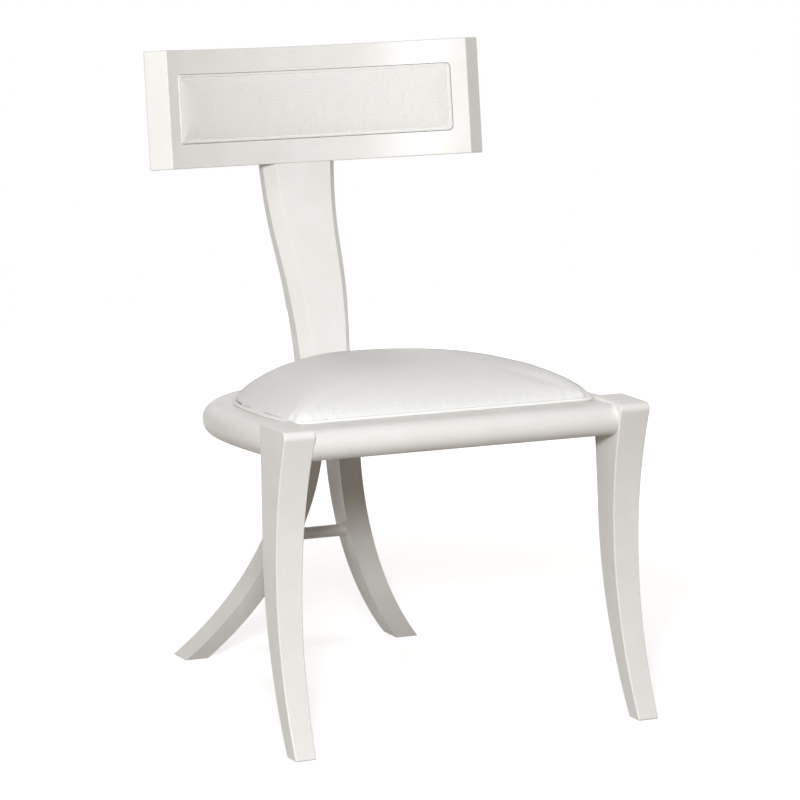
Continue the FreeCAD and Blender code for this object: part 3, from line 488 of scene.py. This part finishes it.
def soft_mesh(name, node, voxel, held_where, pressure, most):
    """The node's solid as evenly meshed cloth, blown up, then made smooth."""
    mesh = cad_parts[node].data.copy()
    work = bmesh.new()
    work.from_mesh(mesh)
    bmesh.ops.remove_doubles(work, verts=work.verts, dist=1e-5)
    work.to_mesh(mesh)
    work.free()
    mesh = with_modifier(name, mesh, "REMESH", {"mode": "VOXEL", "voxel_size": voxel})
    mesh = with_modifier(name, mesh, "SMOOTH", {"factor": 0.5, "iterations": 4})
    mesh = inflated(name, mesh, held_where(coordinates(mesh)), pressure, most)
    mesh = with_modifier(name, mesh, "SMOOTH", {"factor": 0.5, "iterations": 12})
    mesh = with_modifier(name, mesh, "SUBSURF", {"levels": 1, "render_levels": 1})
    mesh.polygons.foreach_set("use_smooth", [True] * len(mesh.polygons))
    return mesh


def add_weave_map(mesh, places):
    """A UV map in metres, one place for each point."""
    layer = mesh.uv_layers.new(name="weave")
    corners = np.empty(len(mesh.loops), dtype=int)
    mesh.loops.foreach_get("vertex_index", corners)
    layer.uv.foreach_set("vector", places[corners].astype("f").reshape(-1))


def distance_to_path(points, path):
    """Each point's distance from a closed path, and how far along the path it is nearest."""
    path = np.array(path)
    steps = np.linalg.norm(np.roll(path, -1, axis=0) - path, axis=1)
    along = np.concatenate([[0], np.cumsum(steps)[:-1]])
    near = np.empty(len(points), dtype=int)
    gap = np.empty(len(points))
    for start in range(0, len(points), 4000):
        part = points[start:start + 4000]
        apart = np.linalg.norm(part[:, None, :] - path[None, :, :], axis=2)
        near[start:start + 4000] = apart.argmin(axis=1)
        gap[start:start + 4000] = apart.min(axis=1)
    return gap, along[near]


def to_local(matrix, points):
    turned = np.array(matrix.inverted())
    return points @ turned[:3, :3].T + turned[:3, 3]


def to_world(matrix, points):
    turned = np.array(matrix)
    return points @ turned[:3, :3].T + turned[:3, 3]


def box_of(points):
    return points.min(axis=0), points.max(axis=0)


def fitted(points, target):
    """The points moved and scaled to fill a box."""
    low, high = box_of(points)
    return target[0] + (points - low) * (target[1] - target[0]) / (high - low)


# Seat cushion: foam under cloth that is pulled down to the welt all round, so it crowns in the
# middle and gathers a little at the seam, most at the two front corners

def seat_cushion():
    held_below = 0.006
    crown_y = 0.21

    def held(points):
        return to_local(SEAT, points)[:, 2] < held_below

    cover = box_of(to_local(SEAT, coordinates(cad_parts["seat_cover"].data)))
    mesh = soft_mesh("seat_cushion", "seat_foam", 0.005, held, 4.0, 0.003)
    points = fitted(to_local(SEAT, coordinates(mesh)), cover)
    # gathers 17 and 26 mm apart that fade out 20 mm above the seam: 0.2 mm deep, and 1 mm at
    # the front corners
    outline = seat_outline(CUSHION_OFFSET, CUSHION_FRONT, CUSHION_CORNER, 0.004)
    gap, along = distance_to_path(points, [(x, y, 0.002) for x, y in outline])
    fade = np.exp(-((gap / 0.020) ** 2))
    corner = np.exp(-((np.abs(np.abs(points[:, 0]) - 0.205) / 0.045) ** 2)
                    - ((points[:, 1] - CUSHION_FRONT) / 0.05) ** 2)
    gathers = (np.sin(along * 2 * math.pi / 0.017)
               + 0.6 * np.sin(along * 2 * math.pi / 0.0262 + 1.3))
    depth = fade * (0.00020 + 0.0008 * corner) * gathers
    out = points - np.array([0, crown_y, -0.02])
    out /= np.linalg.norm(out, axis=1, keepdims=True)
    points = points + out * depth[:, None]
    points[:, 2] = np.maximum(points[:, 2], SOFT_GAP)
    move_points(mesh, to_world(SEAT, points))
    # the weave is laid flat over the crown and follows it down the sides
    from_crown = points[:, :2] - np.array([0, crown_y])
    across = np.hypot(from_crown[:, 0], from_crown[:, 1])
    drop = points[:, 2].max() - points[:, 2]
    stretch = (across + 0.6 * drop) / np.maximum(across, 1e-6)
    stretch = np.where(across < 0.01, 1, stretch)
    add_weave_map(mesh, from_crown * stretch[:, None])
    mesh.materials.clear()
    mesh.materials.append(seat_cloth)
    piece = link_mesh("seat_cushion", mesh)
    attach(piece, "root")
    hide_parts("seat_cover", "seat_foam")


# Back panel: a thin pad bent to the crest and tucked under its welt, low at the corners and
# puckered a little along its lower edge

def pad_places():
    """A grid of places across and up the pad, with each one's distance in from the pad's edge."""
    # the pad ends under the welt's middle
    tuck = 0.0036
    wide = math.asin(CREST_HALF_CHORD / CREST_RADIUS) * CREST_RADIUS - PANEL_END_BORDER - tuck
    low = PANEL_BORDER + tuck
    high = CREST_HEIGHT - PANEL_BORDER - tuck
    middle, tall = (low + high) / 2, (high - low) / 2
    columns, rows = 128, 30
    # the places crowd towards the edges, where the pad turns over
    spread_x = np.sin(np.linspace(-1, 1, columns) * 1.45) / math.sin(1.45)
    spread_z = np.sin(np.linspace(-1, 1, rows) * 1.35) / math.sin(1.35)
    x, z = np.meshgrid(spread_x * wide, middle + spread_z * tall)
    # the square corners are drawn in to round ones
    corner = PANEL_CORNER - 0.0028
    past_x = np.abs(x) - (wide - corner)
    past_z = np.abs(z - middle) - (tall - corner)
    reach = np.hypot(past_x, past_z)
    in_corner = (past_x > 0) & (past_z > 0)
    square = np.maximum(past_x, past_z)
    share = np.where(in_corner & (reach > 0), square / np.maximum(reach, 1e-9), 1)
    x = np.where(in_corner, np.sign(x) * (wide - corner + past_x * share), x)
    z = np.where(in_corner, middle + np.sign(z - middle) * (tall - corner + past_z * share), z)
    return x, z, np.clip(corner - square, 0, None)


def pad_faces(rows, columns):
    """Faces of a front sheet and a back sheet of places, joined round their rim."""
    front = np.arange(rows * columns).reshape(rows, columns)
    behind = front + rows * columns
    faces = []
    for row in range(rows - 1):
        for column in range(columns - 1):
            square = [(row, column), (row, column + 1), (row + 1, column + 1), (row + 1, column)]
            faces.append([int(front[at]) for at in square])
            faces.append([int(behind[at]) for at in reversed(square)])
    rim = ([(0, column) for column in range(columns)]
           + [(row, columns - 1) for row in range(1, rows)]
           + [(rows - 1, column) for column in range(columns - 2, -1, -1)]
           + [(row, 0) for row in range(rows - 2, 0, -1)])
    for at, following in zip(rim, rim[1:] + rim[:1]):
        corners = (front[following], front[at], behind[at], behind[following])
        faces.append([int(corner) for corner in corners])
    return faces


def crest_polar(points):
    """Each point's radius and turn on the crest rail's bend."""
    return (np.hypot(points[:, 0], points[:, 1] + CREST_RADIUS),
            np.arctan2(points[:, 0], points[:, 1] + CREST_RADIUS))


def back_pad():
    x, z, edge = pad_places()
    # it turns over in 3 mm at the welt, then crowns over 26 mm, and leaves 1.2 mm to blow up
    edge_depth, roll_depth, held_back = 0.0008, 0.0024, 0.0044
    turned_over = np.sqrt(1 - (1 - np.clip(edge / 0.003, 0, 1)) ** 2)
    crown = 1 - (1 - np.clip(edge / 0.026, 0, 1)) ** 2
    rear = BOARD_FRONT - SOFT_GAP
    full = rear - PAD_FRONT
    front = rear - edge_depth - (roll_depth * turned_over + (full - held_back) * crown)
    back = np.full_like(front, rear)
    turn = np.concatenate([x.reshape(-1), x.reshape(-1)]) / CREST_RADIUS
    height = np.concatenate([z.reshape(-1), z.reshape(-1)])
    radius = np.concatenate([front.reshape(-1), back.reshape(-1)])
    points = np.column_stack([radius * np.sin(turn), radius * np.cos(turn) - CREST_RADIUS, height])
    mesh = bpy.data.meshes.new("back_pad")
    mesh.from_pydata([tuple(p) for p in to_world(CREST, points)], [], pad_faces(*x.shape))
    edge_twice = np.concatenate([edge.reshape(-1), np.zeros(edge.size)])
    mesh = inflated("back_pad", mesh, edge_twice < 0.0045, 3.0, 0.0013)
    # puckers 19 and 31 mm apart, 0.3 mm deep along the lower edge and fainter along the upper
    points = to_local(CREST, coordinates(mesh))
    radius, turn = crest_polar(points)
    along = turn * CREST_RADIUS
    from_low = points[:, 2] - PANEL_BORDER
    from_high = CREST_HEIGHT - PANEL_BORDER - points[:, 2]
    lifted = np.clip((BOARD_FRONT - radius) / 0.006, 0, 1)
    puckers = (np.sin(along * 2 * math.pi / 0.019)
               + 0.5 * np.sin(along * 2 * math.pi / 0.031 + 0.7))
    near_low = np.exp(-(((from_low - 0.010) / 0.012) ** 2))
    near_high = np.exp(-(((from_high - 0.010) / 0.010) ** 2))
    radius = radius + lifted * puckers * (0.00028 * near_low + 0.00010 * near_high)
    points[:, 0] = radius * np.sin(turn)
    points[:, 1] = radius * np.cos(turn) - CREST_RADIUS
    move_points(mesh, to_world(CREST, points))
    mesh = with_modifier("back_pad", mesh, "SUBSURF", {"levels": 1, "render_levels": 1})
    mesh.polygons.foreach_set("use_smooth", [True] * len(mesh.polygons))
    points = to_local(CREST, coordinates(mesh))
    radius, turn = crest_polar(points)
    rise = points[:, 2] + 0.4 * (BOARD_FRONT - radius)
    add_weave_map(mesh, np.column_stack([turn * CREST_RADIUS, rise]))
    mesh.materials.clear()
    mesh.materials.append(back_cloth)
    piece = link_mesh("back_pad", mesh)
    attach(piece, "root")
    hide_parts("back_cover", "back_foam")


# Pieces that follow a path

def node_group(name, sizes):
    """An empty geometry tree with a path in, named sizes, and a mesh out."""
    tree = bpy.data.node_groups.new(name, "GeometryNodeTree")
    tree.interface.new_socket("Geometry", in_out="INPUT", socket_type="NodeSocketGeometry")
    for label, value in sizes.items():
        socket = tree.interface.new_socket(label, in_out="INPUT", socket_type="NodeSocketFloat")
        socket.default_value = value
    tree.interface.new_socket("Geometry", in_out="OUTPUT", socket_type="NodeSocketGeometry")
    return tree


def made_along(name, points, tree, sizes):
    """A plain mesh that a geometry tree makes along a closed path."""
    mesh = bpy.data.meshes.new(name + "_path")
    count = len(points)
    edges = [(number, (number + 1) % count) for number in range(count)]
    mesh.from_pydata([tuple(point) for point in points], edges, [])
    holder = link_mesh(name + "_path", mesh)
    modifier = holder.modifiers.new("made", "NODES")
    modifier.node_group = tree
    for item in tree.interface.items_tree:
        if item.in_out == "INPUT" and item.name in sizes:
            modifier[item.identifier] = sizes[item.name]
    made = settled(holder)
    bpy.data.objects.remove(holder)
    return made


def covered_cord(material):
    """A round cord whose cloth is drawn in slightly at each machine stitch."""
    sizes = {"Radius": WELT_RADIUS, "Stitch length": 0.0036, "Draw in": 0.00012}
    tree = node_group("covered_cord", sizes)
    given = add(tree, "NodeGroupInput")
    curve = add(tree, "GeometryNodeMeshToCurve", inputs={"Mesh": given.outputs["Geometry"]})
    curve = add(tree, "GeometryNodeResampleCurve", {"mode": "LENGTH"}, {
        "Curve": curve, "Length": 0.0012})
    travel = add(tree, "GeometryNodeSplineParameter").outputs["Length"]
    stitches = add(tree, "ShaderNodeMath", {"operation": "DIVIDE"}, {
        0: travel, 1: given.outputs["Stitch length"]})
    turns = add(tree, "ShaderNodeMath", {"operation": "MULTIPLY"}, {0: stitches, 1: 2 * math.pi})
    beat = add(tree, "ShaderNodeMath", {"operation": "COSINE"}, {0: turns})
    radius = add(tree, "ShaderNodeMath", {"operation": "MULTIPLY_ADD"}, {
        0: beat, 1: given.outputs["Draw in"], 2: given.outputs["Radius"]})
    ring = add(tree, "GeometryNodeCurvePrimitiveCircle", inputs={"Resolution": 14, "Radius": 1.0})
    cord = add(tree, "GeometryNodeCurveToMesh", inputs={
        "Curve": curve, "Profile Curve": ring, "Scale": radius})
    smooth = add(tree, "GeometryNodeSetShadeSmooth", inputs={"Geometry": cord})
    made = add(tree, "GeometryNodeRealizeInstances", inputs={"Geometry": smooth})
    made = add(tree, "GeometryNodeSetMaterial", inputs={"Geometry": made, "Material": material})
    add(tree, "NodeGroupOutput", inputs={"Geometry": made})
    return tree


def staples(material):
    """Wire staples at even steps, their crowns lying along the path."""
    sizes = {"Step": 0.036, "Crown": 0.010, "Wire": 0.0009}
    tree = node_group("staples", sizes)
    given = add(tree, "NodeGroupInput")
    curve = add(tree, "GeometryNodeMeshToCurve", inputs={"Mesh": given.outputs["Geometry"]})
    places = add(tree, "GeometryNodeCurveToPoints", {"mode": "LENGTH"}, {
        "Curve": curve, "Length": given.outputs["Step"]})
    size = add(tree, "ShaderNodeCombineXYZ", inputs={
        0: given.outputs["Wire"], 1: given.outputs["Wire"], 2: given.outputs["Crown"]})
    wire = add(tree, "GeometryNodeMeshCube", inputs={"Size": size})
    placed = add(tree, "GeometryNodeInstanceOnPoints", inputs={
        "Points": places.outputs["Points"], "Instance": wire,
        "Rotation": places.outputs["Rotation"]})
    made = add(tree, "GeometryNodeRealizeInstances", inputs={"Geometry": placed})
    made = add(tree, "GeometryNodeSetMaterial", inputs={"Geometry": made, "Material": material})
    add(tree, "NodeGroupOutput", inputs={"Geometry": made})
    return tree


def seat_welt(tree):
    inset = WELT_RADIUS + SOFT_GAP
    outline = seat_outline(
        CUSHION_OFFSET - inset, CUSHION_FRONT - inset, CUSHION_CORNER + inset, 0.003)
    points = [SEAT @ Vector((x, y, WELT_RADIUS + 0.0001)) for x, y in outline]
    mesh = made_along("seat_welt_cord", points, tree, {"Radius": WELT_RADIUS})
    piece = link_mesh("seat_welt_cord", mesh)
    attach(piece, "root")
    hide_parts("seat_welt")


def back_welt(tree):
    inset = WELT_RADIUS + SOFT_GAP
    points = panel_outline(
        inset, BOARD_FRONT - 0.0002 - WELT_RADIUS, PANEL_CORNER - inset, 0.003)
    mesh = made_along("back_welt_cord", points, tree, {"Radius": WELT_RADIUS})
    piece = link_mesh("back_welt_cord", mesh)
    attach(piece, "root")
    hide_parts("back_welt")


def dust_cover_staples(tree):
    # a few millimetres in from the dust cover's edge, and half a wire below its face
    outline = seat_outline(0.0425, 0.0465, 0.012, 0.004)
    points = [SEAT @ Vector((x, y, -0.0442)) for x, y in outline]
    piece = link_mesh("dust_cover_staples", made_along("dust_cover_staples", points, tree, {}))
    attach(piece, "root")


seat_cushion()
back_pad()
cord = covered_cord(welt_cloth)
seat_welt(cord)
back_welt(cord)
dust_cover_staples(staples(zinc))


# Studio: white floor and surround, a low key lamp from the camera's side, and softer lamps on
# the other sides, behind and above

def seen_share(tree):
    """1 for what the camera, a mirror or glass sees, 0 for what lights the object."""
    path = add(tree, "ShaderNodeLightPath")
    seen = add(tree, "ShaderNodeMath", {"operation": "ADD"}, {
        0: path.outputs["Is Camera Ray"], 1: path.outputs["Is Glossy Ray"]})
    return add(tree, "ShaderNodeMath", {"operation": "ADD", "use_clamp": True}, {
        0: seen, 1: path.outputs["Is Transmission Ray"]})


def surround():
    world = bpy.data.worlds.new("studio")
    bpy.context.scene.world = world
    world.use_nodes = True
    tree = world.node_tree
    tree.nodes.clear()
    seen = seen_share(tree)
    # white where it is seen, and a weak warm light on the object
    tint = add(tree, "ShaderNodeMix", {"data_type": "RGBA"}, {
        0: seen, 6: colour("#FFE4C8"), 7: colour("#FFFFFF")}).outputs[2]
    strength = add(tree, "ShaderNodeMapRange", inputs={
        "Value": seen, "From Min": 0.0, "From Max": 1.0, "To Min": 0.08, "To Max": 1.0})
    shader = add(tree, "ShaderNodeBackground", inputs={"Color": tint, "Strength": strength})
    add(tree, "ShaderNodeOutputWorld", inputs={"Surface": shader})


def floor():
    material, tree = new_material("white_studio_floor")
    seen = seen_share(tree)
    place = add(tree, "ShaderNodeTexCoord").outputs["Object"]
    reach = add(tree, "ShaderNodeVectorMath", {"operation": "LENGTH"}, {0: place}).outputs["Value"]
    # the glow is weak enough round the object to keep its shadow, and hides the floor's edge
    level = add(tree, "ShaderNodeMapRange", inputs={
        "Value": reach, "From Min": 0.8, "From Max": 2.4, "To Min": 0.61, "To Max": 1.0})
    glow = add(tree, "ShaderNodeMath", {"operation": "MULTIPLY"}, {0: seen, 1: level})
    # pale where it is seen, but it sends only a little tan light up under the seat
    tint = add(tree, "ShaderNodeMix", {"data_type": "RGBA"}, {
        0: seen, 6: colour("#74674F"), 7: colour("#E2E2E2")}).outputs[2]
    paper = add(tree, "ShaderNodeBsdfDiffuse", inputs={"Color": tint})
    light = add(tree, "ShaderNodeEmission", inputs={"Color": colour("#FFFFFF"), "Strength": glow})
    shader = add(tree, "ShaderNodeAddShader", inputs={0: paper, 1: light})
    add(tree, "ShaderNodeOutputMaterial", inputs={"Surface": shader})
    mesh = bpy.data.meshes.new("studio_floor")
    far = 3.2
    mesh.from_pydata([(-far, -far, 0), (far, -far, 0), (far, far, 0), (-far, far, 0)], [],
                     [(0, 1, 2, 3)])
    mesh.materials.append(material)
    link_mesh("studio_floor", mesh)


def lamp(name, azimuth, elevation, distance, size, power, tint, glints=True):
    """A round lamp that faces the chair's middle. Azimuth is 0 in front and grows towards +X.
    Without glints, the lamp doesn't show in the paint's shine."""
    middle = Vector((0, 0, 0.45))
    data = bpy.data.lights.new(name, "AREA")
    data.shape = "DISK"
    data.size = size
    data.energy = power
    data.color = colour(tint)[:3]
    made = bpy.data.objects.new(name, data)
    bpy.context.collection.objects.link(made)
    made.visible_glossy = glints
    turn, rise = math.radians(azimuth), math.radians(elevation)
    level = math.cos(rise)
    way = Vector((math.sin(turn) * level, -math.cos(turn) * level, math.sin(rise)))
    made.location = middle + way * distance
    made.rotation_euler = way.to_track_quat("Z", "Y").to_euler()


surround()
floor()
lamp("key", -28, 20, 4.0, 0.8, 132, "#FAFCFF")
lamp("side_fill", -76, 14, 4.0, 1.4, 22, "#FFFCF8", glints=False)
lamp("right_fill", 82, 16, 4.0, 1.6, 30, "#FFFCF8", glints=False)
lamp("back_fill", 170, 15, 4.0, 1.8, 62, "#FFFFFF", glints=False)
lamp("top_fill", 20, 78, 3.5, 2.0, 10, "#FFFFFF")

bpy.context.scene.view_settings.view_transform = "Standard"
